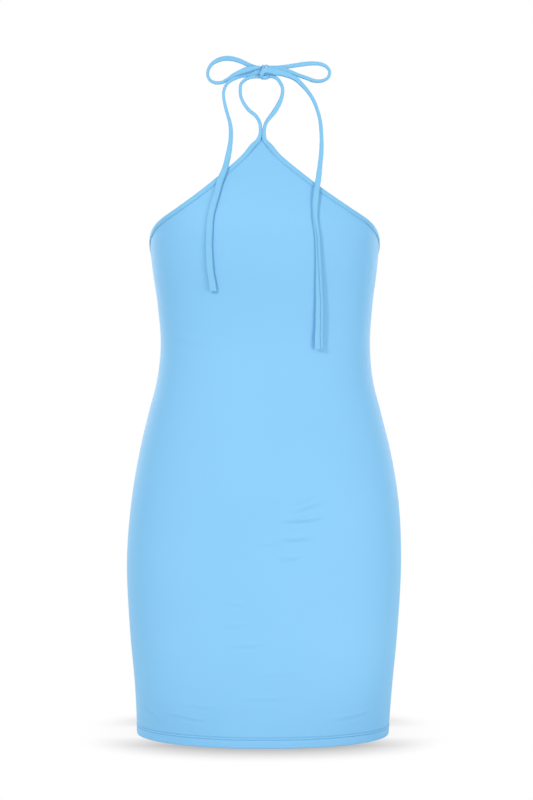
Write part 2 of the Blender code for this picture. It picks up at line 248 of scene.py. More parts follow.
knit_group, knit_in, knit_out = new_group(
    "jersey_knit", [("Cloth", None), ("Loop Width", 0.0007), ("Loop Height", 0.0006)], ["Height"])
maths = sums(knit_group)
split = add_node(knit_group, "ShaderNodeSeparateXYZ")
wire(knit_group, (knit_in, "Cloth", split, 0))
across_loops = maths("DIVIDE", split.outputs["X"], knit_in.outputs["Loop Width"])
up_loops = maths("DIVIDE", split.outputs["Y"], knit_in.outputs["Loop Height"])
in_loop = maths("ABSOLUTE", maths("SUBTRACT", maths("FRACT", across_loops), 0.5))
leg = maths("SINE", maths("MULTIPLY", in_loop, 2.0 * math.pi))
slant = maths("ADD", up_loops, in_loop)
course = maths("SINE", maths("MULTIPLY", slant, 2.0 * math.pi))
knit_height = maths("MULTIPLY", leg, maths("MULTIPLY_ADD", course, 0.35, 0.65))
knit_group.links.new(knit_height, knit_out.inputs["Height"])

dye_group, dye_in, dye_out = new_group("dye_unevenness", [("Place", None), ("Size", 9.0)], ["Shade"])
dye_noise = add_node(dye_group, "ShaderNodeTexNoise", {"Detail": 3.0})
wire(dye_group, (dye_in, "Place", dye_noise, "Vector"), (dye_in, "Size", dye_noise, "Scale"),
     (dye_noise, "Fac", dye_out, "Shade"))
print("node groups:", knit_group.name, dye_group.name)


# %% Jersey materials
KNIT_HEIGHT = 0.0003  # metres that a loop stands up


def jersey(name, light, dark, knit_depth, roughness, sheen):
    """Jersey finish: dye between a dark and a light blue, knit as a small bump, and a
    nap that lightens the cloth where it turns away."""
    cloth = bpy.data.materials.new(name)
    cloth.use_nodes = True
    tree = cloth.node_tree
    shader = tree.nodes["Principled BSDF"]
    set_inputs(shader, {"Roughness": roughness, "Specular IOR Level": 0.35, "Sheen Weight": sheen,
                        "Sheen Roughness": 0.45, "Sheen Tint": (0.85, 0.93, 1.0, 1.0)})
    place = add_node(tree, "ShaderNodeTexCoord")
    dye = add_node(tree, "ShaderNodeGroup", node_tree=dye_group)
    mix = add_node(tree, "ShaderNodeMix", {"A": dark, "B": light}, data_type="RGBA")
    knit = add_node(tree, "ShaderNodeGroup", node_tree=knit_group)
    map_of_cloth = add_node(tree, "ShaderNodeUVMap", uv_map="cloth")
    bump = add_node(tree, "ShaderNodeBump", {"Strength": knit_depth, "Distance": KNIT_HEIGHT})
    wire(tree, (place, "Object", dye, "Place"), (dye, "Shade", mix, "Factor"),
         (mix, "Result", shader, "Base Color"), (map_of_cloth, "UV", knit, "Cloth"),
         (knit, "Height", bump, "Height"), (bump, "Normal", shader, "Normal"))
    return cloth


BLUE_LIGHT = (0.246, 0.580, 0.895, 1.0)
BLUE_DARK = (0.228, 0.552, 0.868, 1.0)
STRAP_LIGHT = (0.236, 0.570, 0.862, 1.0)
STRAP_DARK = (0.216, 0.540, 0.828, 1.0)
# the stitch thread is darker than the cloth: partly its own colour and partly painted shade, the dark
# line of the groove that each stitch pulls in
THREAD_AND_GROOVE_SHADE_LIGHT = (0.130, 0.390, 0.670, 1.0)
THREAD_AND_GROOVE_SHADE_DARK = (0.105, 0.345, 0.620, 1.0)
body_jersey = jersey("body_jersey", BLUE_LIGHT, BLUE_DARK, 0.25, 0.62, 0.20)
binding_jersey = jersey("binding_jersey", STRAP_LIGHT, STRAP_DARK, 0.25, 0.62, 0.20)
strap_jersey = jersey("strap_jersey", STRAP_LIGHT, STRAP_DARK, 0.25, 0.62, 0.20)
thread = jersey("thread", THREAD_AND_GROOVE_SHADE_LIGHT, THREAD_AND_GROOVE_SHADE_DARK, 0.1, 0.5, 0.05)
strap_thread = jersey("strap_thread", STRAP_LIGHT, STRAP_DARK, 0.1, 0.5, 0.05)

# %% [markdown]
# From points to a piece
#
# Each piece is a grid of points that closes on itself one way, like a flattened tube, with
# a lid at both ends. One helper turns the grid into a mesh, lays the map of the cloth on
# it, hangs it on the dress and hides the plain solids that it stands for.


# %% Mesh helpers
SHARP_FROM = 62.0  # degrees between two faces from which their edge is drawn sharp


def loft_faces(rows, sides):
    """Quads between neighbouring closed rows of a grid, and a lid on the first and last."""
    i = np.arange(rows - 1)[:, None]
    j = np.arange(sides)[None, :]
    nxt = (j + 1) % sides
    low = i * sides
    high = low + sides
    quads = np.stack([low + j, low + nxt, high + nxt, high + j], axis=-1)
    first = list(range(sides - 1, -1, -1))
    last = list(range((rows - 1) * sides, rows * sides))
    return quads.reshape(-1, 4).tolist() + [first, last]


def piece(name, points, faces, finish, stands_for=(), cloth_map=None):
    """Finished mesh piece from points in millimetres, riding on the dress."""
    points = np.asarray(points, dtype=float).reshape(-1, 3)
    mesh = bpy.data.meshes.new(name)
    mesh.from_pydata((points * MM).tolist(), [], faces)
    if cloth_map is not None:
        layer = mesh.uv_layers.new(name="cloth")
        corner = np.empty(len(mesh.loops), dtype=np.int64)
        mesh.loops.foreach_get("vertex_index", corner)
        flat = np.asarray(cloth_map, dtype=float).reshape(-1, 2) * MM
        layer.data.foreach_set("uv", flat[corner].ravel())
    mesh.shade_smooth()
    mesh.set_sharp_from_angle(angle=math.radians(SHARP_FROM))
    mesh.materials.append(finish)
    made = new_object(name, mesh)
    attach(made, "root")
    if stands_for:
        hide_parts(*stands_for)
    print(name, "faces:", len(mesh.polygons))
    return made


# %% [markdown]
# The body of the dress
#
# The dress is filled out as when worn, so its shape is a stack of rounded rectangles. A
# short table gives one for each level, and a smooth curve through the rows fills in the
# rest. A point of the cloth is found from its turn round the body and its height.

# %% Shape of the body
# height above the hem, half width, depth in front of the side seams,
# depth behind them, squareness of the outline, sideways place of the middle
BODY = np.array([
    (0, 156.8, 108, 92, 2.9, -1.6),
    (60, 159.8, 110, 97, 2.8, -0.6),
    (130, 166.2, 112, 106, 2.7, -0.4),
    (225, 170.4, 113, 116, 2.6, 0.1),
    (290, 166.2, 110, 112, 2.5, 1.2),
    (350, 156.5, 104, 99, 2.4, 1.3),
    (400, 144.5, 98, 88, 2.4, 1),
    (440, 134.5, 94, 81, 2.4, 1.2),
    (485, 130.5, 92, 78, 2.4, 1.6),
    (530, 133.5, 97, 80, 2.5, 1.3),
    (590, 141, 109, 86, 2.6, 0.8),
    (625, 143, 112, 89, 2.6, 0.4),
    (665, 139, 104, 88, 2.5, -1.2),
    (700, 130, 90, 84, 2.4, -2.8),
    (745, 112, 68, 80, 2.3, -4),
])
# turn from the middle of the front in degrees, height of the finished top edge
EDGE = np.array([
    (0, 738.5), (2.2, 734.5), (5, 728), (10, 720), (16, 708.3), (24.5, 693),
    (35.5, 671.5), (43.6, 656.8), (52.7, 643.3), (64.3, 631), (74.5, 620), (90, 604),
    (105, 590), (125, 574), (150, 560), (180, 555),
])
CLOTH = 1.2
HEM_TURN = 12.0
HEM_EXTRA = 1.0
SEAM_GAP = 0.1  # between the two panels at a side seam
BIND_WIDTH = 7.0
HIP_HEIGHT = 225.0  # where the hips are fullest
HEM_CORNER = 0.85  # how much rounder the front corners are at the hem
HEM_CORNER_REACH = 45.0  # how far up that goes


def curve_through(x, table_x, table_y):
    """Smooth curve through the rows of a table, read at x: a cubic between two rows,
    with the slope at each row the mean of the slopes on both sides of it."""
    step = np.diff(table_x)
    slope = np.diff(table_y) / step
    tangent = np.empty(len(table_x))
    tangent[0] = slope[0]
    tangent[-1] = slope[-1]
    tangent[1:-1] = (slope[:-1] * step[1:] + slope[1:] * step[:-1]) / (step[1:] + step[:-1])
    i = np.clip(np.searchsorted(table_x, x, side="right") - 1, 0, len(table_x) - 2)
    h = step[i]
    t = (x - table_x[i]) / h
    low = (2 * t**3 - 3 * t**2 + 1) * table_y[i] + (t**3 - 2 * t**2 + t) * h * tangent[i]
    high = (3 * t**2 - 2 * t**3) * table_y[i + 1] + (t**3 - t**2) * h * tangent[i + 1]
    return low + high


def curves_through(x, table_x, table):
    """The same smooth curve for each column of a table, all read at x."""
    return [curve_through(x, table_x, column) for column in np.transpose(table)]


def run_along(points):
    """Length of a line of points from its start to each of them."""
    return np.concatenate([[0.0], np.cumsum(np.linalg.norm(np.diff(points, axis=0), axis=1))])


def read_line(at, length, points):
    """Points at given lengths along a line of points, straight from one to the next."""
    return np.stack([np.interp(at, length, points[:, k]) for k in range(3)], axis=1)


def body_point(turn, height):
    """Outside of the cloth: a superellipse |x/a|^n + |y/b|^n = 1 at each height, read at a
    turn from the middle of the front, with its own depth b at the front and at the back."""
    half, front, back, square, middle = curves_through(height, BODY[:, 0], BODY[:, 1:])
    depth = np.where(np.cos(turn) >= 0.0, front, back)
    side = np.where(np.sin(turn) < 0.0, 1.0, 0.8) * np.clip(np.abs(np.sin(turn)) * 2.0, 0.0, 1.0)
    square = square - HEM_CORNER * side * (np.cos(turn) > 0.0) * np.exp(-(height / HEM_CORNER_REACH)**2)
    sideways = (np.abs(np.sin(turn)) / half)**square
    forwards = (np.abs(np.cos(turn)) / depth)**square
    radius = (sideways + forwards)**(-1.0 / square)
    x = middle + radius * np.sin(turn)
    y = SEAM_Y - radius * np.cos(turn)
    return np.stack([x, y, HEM_Z + height + 0.0 * turn], axis=-1)


def unit(v):
    """Vectors made one long."""
    return v / np.linalg.norm(v, axis=-1, keepdims=True)


def body_normal(turn, height):
    """Direction square to the cloth, outwards, from two short steps on it."""
    along = body_point(turn + 0.002, height) - body_point(turn - 0.002, height)
    up = body_point(turn, height + 1.0) - body_point(turn, height - 1.0)
    return unit(np.cross(along, up))


def edge_height(turn):
    """Height of the finished top edge above the hem, the same on both sides."""
    from_middle = np.abs((np.degrees(turn) + 180.0) % 360.0 - 180.0)
    return curve_through(from_middle, EDGE[:, 0], EDGE[:, 1])


def edge_stretch(turn):
    """How much longer a line straight up is than one square to the top edge."""
    step = 0.01
    ahead = edge_height(turn + step)
    behind = edge_height(turn - step)
    run = body_point(turn + step, ahead) - body_point(turn - step, behind)
    return np.sqrt(1.0 + ((ahead - behind) / np.hypot(run[..., 0], run[..., 1]))**2)


hip_line = body_point(np.linspace(0.0, 2.0 * np.pi, 400), np.full(400, HIP_HEIGHT))
print("girth at the hip, mm:", round(float(run_along(hip_line)[-1])))

# %% [markdown]
# Creases
#
# Stretched jersey has hardly any folds, only soft shallow lines where it is pulled: a few
# across the right hip, some across the lap, and more at the small of the back, where the
# dress is shorter than the body is round. A simulation drapes cloth that hangs loose, and
# this cloth is stretched, so each crease is given one by one. It is a soft trough with a
# soft ridge above it, and it fades out at both ends.

# %% Creases of the front and the back
# from x, from z, to x, to z, depth, half width, sag in the middle
FRONT_CREASES = np.array([
    (33.5, -527, 76, -513.5, 1.25, 2.6, 0.6),
    (21.3, -538, 73.4, -533.8, 1.6, 2.7, 1.5),
    (30, -520, 66, -506.5, 0.65, 2.4, 0.6),
    (19, -560.6, 59, -557.6, 1.35, 2.8, 1),
    (17.6, -583.8, 46, -580.4, 1, 3.2, 1),
    (62, -489, 104, -474, 0.53, 3.5, -2),
    (-6, -566, 22, -563, 0.39, 2.6, 1),
    (-50.9, -634.3, -18.9, -640.3, 0.79, 2.2, -1),
    (-53.3, -661.3, -14.1, -661.3, 0.61, 2.4, 1.2),
    (-46.2, -685.5, 0.5, -684.5, 0.7, 2.4, 1.5),
    (-36.7, -748, 35.7, -748, 0.49, 2.4, 2),
    (-12, -724, 52, -720, 0.39, 2.4, -2),
    (-115, -769.5, -66.3, -776.6, 0.74, 2, 1),
    (-150, -761, -128, -778, 0.7, 2.2, 1),
    (-98, -756, -48, -762, 0.44, 2.2, 1.5),
    (78, -776, 132, -768, 0.61, 2.2, 1.5),
    (-118, -318, -70, -330, 0.45, 5, 2),
    (66, -336, 116, -322, 0.4, 5, 2),
])
BACK_CREASES = np.array([
    (-92, -352, 60, -346, 1.3, 4.6, 5),
    (-54, -330, 96, -326, 1, 4.2, 4),
    (-104, -306, -12, -314, 0.9, 4.6, 4),
    (24, -376, 106, -366, 0.9, 4.2, 3),
    (-76, -388, 4, -392, 0.6, 4.4, 3),
    (-60, -640, 34, -634, 0.55, 4.6, -4),
    (-18, -668, 76, -672, 0.45, 4.4, -4),
    (-128, -770, -72, -777, 0.35, 2.2, 1),
    (40, -777, 110, -770, 0.35, 2.4, 1),
])


def crease_relief(x, z, creases):
    """Height of the cloth in millimetres: for each crease, a trough with the shape of a
    bell across it and a lower ridge above, times a window that fades at its ends."""
    relief = np.zeros_like(x)
    for x0, z0, x1, z1, deep, wide, sag in creases:
        length = np.hypot(x1 - x0, z1 - z0)
        along = ((x - x0) * (x1 - x0) + (z - z0) * (z1 - z0)) / length**2
        across = ((z - z0) * (x1 - x0) - (x - x0) * (z1 - z0)) / length
        across = across + sag * 4.0 * along * (1.0 - along)
        window = np.clip(np.sin(np.pi * np.clip(along * 0.8 + 0.1, 0.0, 1.0)) * 1.3 - 0.3, 0.0, 1.0)
        trough = np.exp(-(across / wide)**2)
        ridge = np.exp(-((across - 1.7 * wide) / wide)**2)
        relief += deep * window * (1.1 * ridge - trough)
    return relief


# %% [markdown]
# Stitch lines
#
# The hem is turned up inside and held by a twin needle: two rows of stitches, 2.8 mm apart.
# The thread pulls the cloth down into two narrow grooves and the cloth between them swells
# into a small roll. Between two stitches of a row the groove is shallower. The same groove
# runs along the binding.

# %% Grooves of the hem and the side seams
HEM_ROWS = (10.2, 13.0)  # heights of the two rows of stitches
STITCH = 2.9  # length of a stitch
GROOVE = 0.62
GROOVE_HALF = 0.62
HEM_ROLL = 0.50  # height of the roll between the rows
SEAM_DIP = 1.1  # how far the cloth rolls in at a side seam
SEAM_REACH = 1.5


def hem_relief(run, height):
    """Two narrow bell-shaped grooves round the hem, a little shallower between stitches,
    a roll between them, and a faint swelling below where the cloth is double."""
    middle = 0.5 * (HEM_ROWS[0] + HEM_ROWS[1])
    relief = 0.25 * np.exp(-((height - 6.0) / 4.5)**2) + HEM_ROLL * np.exp(-((height - middle) / 0.9)**2)
    pull = 0.8 + 0.2 * np.cos(2.0 * np.pi * run / STITCH)
    for row in HEM_ROWS:
        relief = relief - GROOVE * pull * np.exp(-((height - row) / GROOVE_HALF)**2)
    return relief


# height above the hem, step between rows there
FRONT_STEPS = np.array([
    (20, 2.2), (64, 2.2), (72, 3.6), (100, 2.6), (180, 2.6), (190, 5), (216, 5),
    (224, 1.7), (306, 1.7), (316, 4.5), (556, 4.5)])
BACK_STEPS = np.array([
    (20, 2.4), (44, 2.4), (56, 6), (120, 4), (180, 4), (200, 6.5), (396, 6.5),
    (404, 2.6), (506, 2.6), (520, 4.5)])
HEM_LEVELS = np.concatenate([np.arange(1.1, 17.0, 0.45), [17.6, 18.6, 20.2]])  # rows of the hem
RIM_ROWS = 36  # rows between the last level one and the binding
RIM_DEPTH = 10.0  # the nine rows under the binding begin this far below its panel's end
SEAM_FINE = 8.0  # width beside a side seam where the columns are close
SEAM_COLUMNS = 9  # columns in that width
PANEL_END = 1.6  # the panel ends this far inside the finished top edge
BINDING_COVERS = 5.4  # and is smooth this far down, where the binding covers it
SEAM_CALM = 12.0  # creases fade out this near a side seam


def level_rows(steps):
    """Heights of level rows whose spacing follows a table: the count of rows up to a
    height is the sum of 1 / step, and the rows are where it is whole."""
    fine = np.linspace(steps[0, 0], steps[-1, 0], 4000)
    spacing = np.interp(fine[1:], steps[:, 0], steps[:, 1])
    count = np.concatenate([[0.0], np.cumsum(np.diff(fine) / spacing)])
    whole = np.arange(1, int(count[-1]) + 1)
    return np.interp(whole, count, fine)


def panel_turns(start, end, count):
    """Turns of a panel's columns: even steps round the hip, and closer ones at both side
    seams, where the cloth rolls in."""
    fine = np.radians(np.linspace(start, end, 1441))
    length = run_along(body_point(fine, np.full_like(fine, HIP_HEIGHT)))
    near = np.linspace(0.5 * SEAM_GAP, SEAM_FINE, SEAM_COLUMNS)
    middle = np.linspace(SEAM_FINE, length[-1] - SEAM_FINE, count)[1:-1]
    places = np.concatenate([near, middle, length[-1] - near[::-1]])
    return np.interp(places, length, fine), places, length[-1]


# a finished panel: its piece, then the grids of its outside, of the way out and of heights
Panel = namedtuple("Panel", "made out normal heights")


def make_panel(name, start, end, count, creases, steps, stands_for):
    """Panel as one closed grid: outside from the hem up, inside back down, and a round
    fold along the foot. Its thickness is the cloth, and two layers of it in the hem."""
    turns, places, whole = panel_turns(start, end, count)
    stretch = edge_stretch(turns)
    top = edge_height(turns) - PANEL_END * stretch
    low_rows = np.concatenate([HEM_LEVELS, level_rows(steps)])
    upper_from = low_rows[-1]
    near_top = top - RIM_DEPTH * stretch
    body_rows = upper_from + np.linspace(0.0, 1.0, RIM_ROWS)[1:, None] * (near_top - upper_from)
    top_rows = near_top + np.linspace(0.0, 1.0, 9)[1:, None] * (top - near_top)
    heights = np.concatenate([low_rows[:, None] + 0.0 * turns, body_rows, top_rows])
    turn_grid = np.broadcast_to(turns, heights.shape)
    run = np.broadcast_to(places, heights.shape)
    plain = body_point(turn_grid, heights)
    normal = body_normal(turn_grid, heights)
    seam = np.minimum(run, whole - run)
    relief = crease_relief(plain[..., 0], plain[..., 2], creases) * np.clip(seam / SEAM_CALM, 0.0, 1.0)
    relief = relief + hem_relief(run, heights)
    relief = relief - SEAM_DIP * np.exp(-(seam / SEAM_REACH)**2)
    under_binding = np.clip((top - heights) / stretch - BINDING_COVERS, 0.0, 2.0) / 2.0
    relief = relief * under_binding
    outside = plain + normal * relief[..., None]
    above_hem = np.minimum((heights - HEM_TURN - 2.5) * 6.0, 50.0)
    thickness = CLOTH + HEM_EXTRA / (1.0 + np.exp(above_hem))
    inside = outside - normal * thickness[..., None]
    foot_turn = np.radians([40.0, 90.0, 140.0])
    middle = 0.5 * (outside[0] + inside[0])
    reach = 0.5 * thickness[0][:, None]
    down = np.array([0.0, 0.0, -1.0])
    fold = [middle + reach * (math.cos(a) * normal[0] + math.sin(a) * down) for a in foot_turn]
    loop = np.concatenate([outside, inside[::-1], [fold[2], fold[1], fold[0]]])
    grid = loop.transpose(1, 0, 2)
    rows = len(heights)
    up = np.concatenate([heights, heights[::-1], np.zeros((3, len(turns)))])
    cloth_map = np.stack([np.broadcast_to(places, up.shape), up], axis=-1).transpose(1, 0, 2)
    columns, sides = grid.shape[:2]
    faces = loft_faces(columns, sides)[:-2]
    for column, flip in ((0, False), (columns - 1, True)):
        base = column * sides
        for k in range(rows - 1):
            quad = [base + k, base + k + 1, base + 2 * rows - 2 - k, base + 2 * rows - 1 - k]
            faces.append(quad if flip else quad[::-1])
        foot = [base + 2 * rows + 2, base, base + 2 * rows - 1, base + 2 * rows, base + 2 * rows + 1]
        faces.append(foot if flip else foot[::-1])
    made = piece(name, grid, faces, body_jersey, stands_for, cloth_map)
    return Panel(made, outside, normal, heights)


# %% [markdown]
# The two panels
#
# The front is one piece with a point at the neck, and the back one piece with a low,
# dipped edge. Each is cut a little smaller than the body that it covers, because the
# jersey stretches over it.

# %% Front and back panel
front = make_panel("front_jersey", -90.0, 90.0, 118, FRONT_CREASES, FRONT_STEPS, ["front_panel"])
back = make_panel("back_jersey", 90.0, 270.0, 96, BACK_CREASES, BACK_STEPS, ["back_panel"])

# %% [markdown]
# Strips of jersey
#
# The binding, the neck straps, the bow and the ties are all narrow strips. Each one is a
# cross-section carried along a smooth curve through a few listed points. The
# section has its own width and thickness at every place, which makes a strip flatten,
# narrow and turn as soft cloth does.


# %% Sweep of a section along a curve
# a finished strip: its piece, then for each station the length up to it, its middle, the
# ways across and out of the cloth, its width and thickness, and how far a back leaf shows
Strip = namedtuple("Strip", "made run middle across deep width thick shows")


def smooth_route(points, facing, step):
    """Stations at even steps along a smooth curve through the points: the middle of the
    strip, the way along it, the way across it and the way that it faces."""
    points = np.asarray(points, dtype=float)
    facing = np.asarray(facing, dtype=float)
    chord = run_along(points)
    fine = np.linspace(0.0, chord[-1], 4000)
    path = np.stack(curves_through(fine, chord, points), axis=1)
    length = run_along(path)
    stations = np.linspace(0.0, length[-1], int(length[-1] / step) + 2)
    middle = read_line(stations, length, path)
    place = np.interp(stations, length, fine)
    front = unit(np.stack(curves_through(place, chord, facing), axis=1))
    along = unit(np.gradient(middle, axis=0))
    across = unit(np.cross(along, front))
    deep = np.cross(across, along)
    return stations, middle, along, across, deep


def read_sizes(share, sizes):
    """Columns of a table of sizes, read smoothly at each share of the strip's length."""
    table = np.array(sizes)
    return curves_through(share, table[:, 0], table[:, 1:])


def turned(across, deep, degrees):
    """Across and facing directions, rolled about the strip by an angle for each station."""
    roll = np.radians(degrees)[:, None]
    return across * np.cos(roll) + deep * np.sin(roll), deep * np.cos(roll) - across * np.sin(roll)


def section_turn(section_across, section_deep):
    """Signed area of the first section: positive where its points go anticlockwise."""
    a = section_across[0]
    d = section_deep[0]
    return 0.5 * float(np.sum(a * np.roll(d, -1) - np.roll(a, -1) * d))


def sweep(name, middle, across, deep, section_across, section_deep, finish, slot, stands_for=()):
    """Closed strip: the section's points (a row for each station) set out across and deep."""
    grid = (middle[:, None, :] + across[:, None, :] * section_across[..., None]
            + deep[:, None, :] * section_deep[..., None])
    run = np.broadcast_to(run_along(middle)[:, None], section_across.shape)
    cloth_map = np.stack([section_across, run], axis=-1)
    faces = loft_faces(*grid.shape[:2])
    ahead = np.gradient(middle, axis=0)
    if float(np.sum(np.cross(across, deep) * ahead)) * section_turn(section_across, section_deep) > 0.0:
        faces = [f[::-1] for f in faces]
    return piece(name, grid, faces, finish, stands_for, cloth_map)


# %% [markdown]
# Binding and neck straps
#
# One strip on each side is folded over the cut edge of the front. At the point of the
# front it leaves the edge, and the same folded strip goes on as the neck strap. So the
# section is a U round the panel, and its slot closes where the panel ends. A row of
# stitches near the lower edge holds both leaves.

# %% Section of a folded strip
# one side of the outline, in half widths across and half thicknesses deep
FOLD_OUT_ACROSS = np.array(
    [1.0, 0.97, 0.9, 0.8, 0.7, 0.5, 0.25, 0.0, -0.25, -0.5, -0.7, -0.85, -0.95, -1.0])
FOLD_OUT_DEEP = np.array(
    [0.62, 0.85, 0.95, 0.97, 0.98, 1.0, 1.03, 1.05, 1.03, 0.98, 0.9, 0.74, 0.45, 0.0])
FOLD_WALL = 0.9  # thickness of the fold at the top of the slot
BIND_GROOVE_AT = 0.76  # place of the stitches, in half widths from the middle
BIND_GROOVE = 0.36  # depth of their groove
BIND_HALF_THICK = 1.5  # half the thickness of a binding
BIND_SLOT_HALF = 0.68  # half the slot that the panel stands in
STRIP_STEP = 1.1  # from one station of a strip to the next


def folded_section(width, half_thick, slot_half, run):
    """U-shaped section for each station: round outside, slot open at the lower edge, and a
    groove where the stitches pull both leaves together."""
    half = 0.5 * width[:, None]
    across_out = np.concatenate([FOLD_OUT_ACROSS, FOLD_OUT_ACROSS[-2::-1]])
    deep_out = np.concatenate([FOLD_OUT_DEEP, -FOLD_OUT_DEEP[-2::-1]])
    pull = 0.75 + 0.25 * np.cos(2.0 * np.pi * run / STITCH)
    groove = BIND_GROOVE * np.exp(-((across_out - BIND_GROOVE_AT) / 0.16)**2)
    outer_across = half * across_out
    outer_deep = half_thick[:, None] * deep_out - np.sign(deep_out) * groove * pull[:, None]
    bottom = -half + FOLD_WALL
    share = np.array([1.0, 0.6, 0.3, 0.0])
    slot_across = bottom + (half - bottom) * share
    slot_deep = slot_half[:, None] * np.array([1.0, 1.0, 1.0, 0.7])
    section_across = np.concatenate([outer_across, slot_across, slot_across[:, ::-1]], axis=1)
    section_deep = np.concatenate([outer_deep, -slot_deep, slot_deep[:, ::-1]], axis=1)
    return section_across, section_deep


def edge_route(turns):
    """Middle line of the binding: the top edge moved down by half its width, square to it,
    and in by half the cloth. Also the way that the cloth faces there."""
    height = edge_height(turns)
    edge = body_point(turns, height)
    normal = body_normal(turns, height)
    along = unit(body_point(turns + 0.01, edge_height(turns + 0.01))
                 - body_point(turns - 0.01, edge_height(turns - 0.01)))
    inward = unit(np.cross(along, normal))
    inward = inward * -np.sign(inward[:, 2:3])
    return edge + inward * 0.5 * BIND_WIDTH - normal * 0.5 * CLOTH, normal


def folded_strip(name, run, middle, across, deep, sizes, stands_for):
    """Strip of the folded section, from its width, half thickness and half slot."""
    width, half_thick, slot_half = sizes
    section = folded_section(width, half_thick, slot_half, run)
    made = sweep(name, middle, across, deep, *section, binding_jersey, "binding_jersey", stands_for)
    return Strip(made, run, middle, across, deep, width, 2.0 * half_thick, None)


# %% Both neck strips
NECK_LEFT = [
    (-13.2, -25, -84.8), (-7, -21.6, -77.8), (-4.6, -19.4, -70.5), (-4.2, -16.8, -62.5),
    (-5.8, -14.6, -54), (-10.5, -12.6, -46.5), (-18, -10.4, -40), (-24, -8.4, -32),
    (-28, -6, -23), (-29, -4, -14.5), (-28, -2, -6.5), (-23, -0.8, -1),
    (-15.5, 0, 2.3), (-4.5, 0.3, 3),
]
NECK_RIGHT = [
    (6.6, -25, -84.8), (0.9, -21.6, -77.8), (0.1, -19.4, -70.5), (0.5, -16.8, -62.5),
    (3, -14.8, -54.8), (7, -13, -49), (13, -10.8, -41), (18, -8.4, -32),
    (22, -5.6, -21), (22.5, -3, -11.5), (19, -1.4, -3.5), (14.5, -0.2, 1.5),
    (5.5, 0.3, 4),
]
# width, half thickness and half the slot, at the binding's end and each point above
NECK_LEFT_SIZES = [
    (7, 1.5, 0.68), (6.9, 1.5, 0.68), (5.8, 1.5, 0.5), (4.5, 1.5, 0.1), (4.3, 1.4, 0.06),
    (4.2, 1.3, 0.06), (4.2, 1.3, 0.06), (4.3, 1.3, 0.06), (4, 1.4, 0.06), (3.8, 1.5, 0.06),
    (3.8, 1.5, 0.06), (3.8, 1.6, 0.06), (3.8, 1.7, 0.06), (4, 1.8, 0.06), (4, 1.8, 0.06),
]
NECK_RIGHT_SIZES = [
    (7, 1.5, 0.68), (6.9, 1.5, 0.68), (5.8, 1.5, 0.5), (4.5, 1.5, 0.1), (4.4, 1.4, 0.06),
    (4.4, 1.3, 0.06), (4.9, 1.25, 0.06), (5.9, 1.1, 0.06), (5.6, 1.15, 0.06), (4.4, 1.35, 0.06),
    (4.1, 1.5, 0.06), (4.2, 1.6, 0.06), (4.4, 1.8, 0.06), (4.2, 1.8, 0.06),
]
# turns from the middle of the front at which the binding's line is read
BIND_DEGREES = np.array([89.92, 84, 78, 72, 66, 60, 54, 47, 40, 33, 26, 20, 15])
FACE_FROM = -86.0  # above this height the strap turns to face the front
FACE_OVER = 24.0  # and has done so this much higher


def neck_strip(name, side, strap, sizes, stands_for):
    """Strip from the side seam along the front edge to the point, and up to the knot."""
    turns = np.radians(BIND_DEGREES) * side
    bound, bound_facing = edge_route(turns)
    points = np.concatenate([bound, strap])
    ahead = np.array([0.0, -1.0, 0.0])
    blend = np.clip((np.array(strap)[:, 2] - FACE_FROM) / FACE_OVER, 0.0, 1.0)[:, None]
    last = bound_facing[-1]
    facing = np.concatenate([bound_facing, unit(last * (1.0 - blend) + ahead * blend)])
    stations, middle, along, across, deep = smooth_route(points, facing, STRIP_STEP)
    chord = run_along(points)
    place = stations / stations[-1] * chord[-1]
    size_at = chord[-len(strap) - 1:]
    rows = np.array(sizes[:len(strap) + 1])
    place = np.maximum(place, size_at[0])
    sizes = curves_through(place, size_at, rows)
    return folded_strip(name, stations, middle, -side * across, deep, sizes, stands_for)


neck_left = neck_strip("neck_strip_left", -1.0, NECK_LEFT, NECK_LEFT_SIZES,
                       ["neck_binding_left", "neck_strap_left"])
neck_right = neck_strip("neck_strip_right", 1.0, NECK_RIGHT, NECK_RIGHT_SIZES,
                        ["neck_binding_right", "neck_strap_right"])

# %% [markdown]
# Back binding
#
# The back edge has the same folded strip, from one side seam to the other.

# %% Back binding
back_line = edge_route(np.radians(np.linspace(90.08, 269.92, 41)))
run, middle, along, across, deep = smooth_route(*back_line, STRIP_STEP)
across = across * -np.sign(across[:, 2:3])
sizes = [np.full(len(run), size) for size in (BIND_WIDTH, BIND_HALF_THICK, BIND_SLOT_HALF)]
back_bound = folded_strip("back_binding_strip", run, middle, across, deep, sizes, ["back_binding"])

# %% [markdown]
# Bow and ties
#
# Past the knot the straps are the same folded strip: two leaves with the fold at one side
# and the stitched edges at the other. They are flat where they lie and round where they
# turn, a loop is narrow at its far end, and the ties widen downwards. The back leaf shows
# past the edge of the front leaf where the strap has rolled, which gives the dark line
# beside a narrow light one.

# %% Routes and sizes of the bow and the ties
LOOP_LEFT = [
    (-4.5, 3, 13.5), (-6.5, 3.2, 14), (-17, 3.2, 17), (-28, 3, 22), (-38, 2.6, 25),
    (-46.5, 2, 25.5), (-56.5, 1.4, 23), (-64, 0.9, 18), (-68, 0.5, 11), (-68.5, 0.3, 4),
    (-65.5, 0.2, -1.5), (-59, 0, -4.5), (-52.5, -0.4, -4.4), (-45.5, -1, -1.4),
    (-38, -2.2, 3.6), (-30.8, -3.4, 7), (-24, -3.8, 9.8), (-15.5, -3.6, 12), (-8.5, -2.8, 13.4),
    (-4.5, -2, 13.6),
]
LOOP_RIGHT = [
    (5.5, 3.2, 14.3), (7.5, 3.3, 14.5), (17, 3.4, 14.5), (26.5, 3.3, 15.5), (36.5, 3, 17),
    (46.5, 2.6, 18.5), (59, 2, 19.5), (69, 1.5, 18.5), (76.5, 1.1, 15), (80, 0.8, 9),
    (78, 0.6, 2), (70.5, 0.5, -2), (61.5, 0.4, -2), (51.5, 0.3, 1.5), (41.5, 0.3, 5),
    (33, 0.2, 8.5), (21.5, 0.1, 12.5), (7.5, -0.1, 13.5), (5.5, -0.1, 13.5),
]
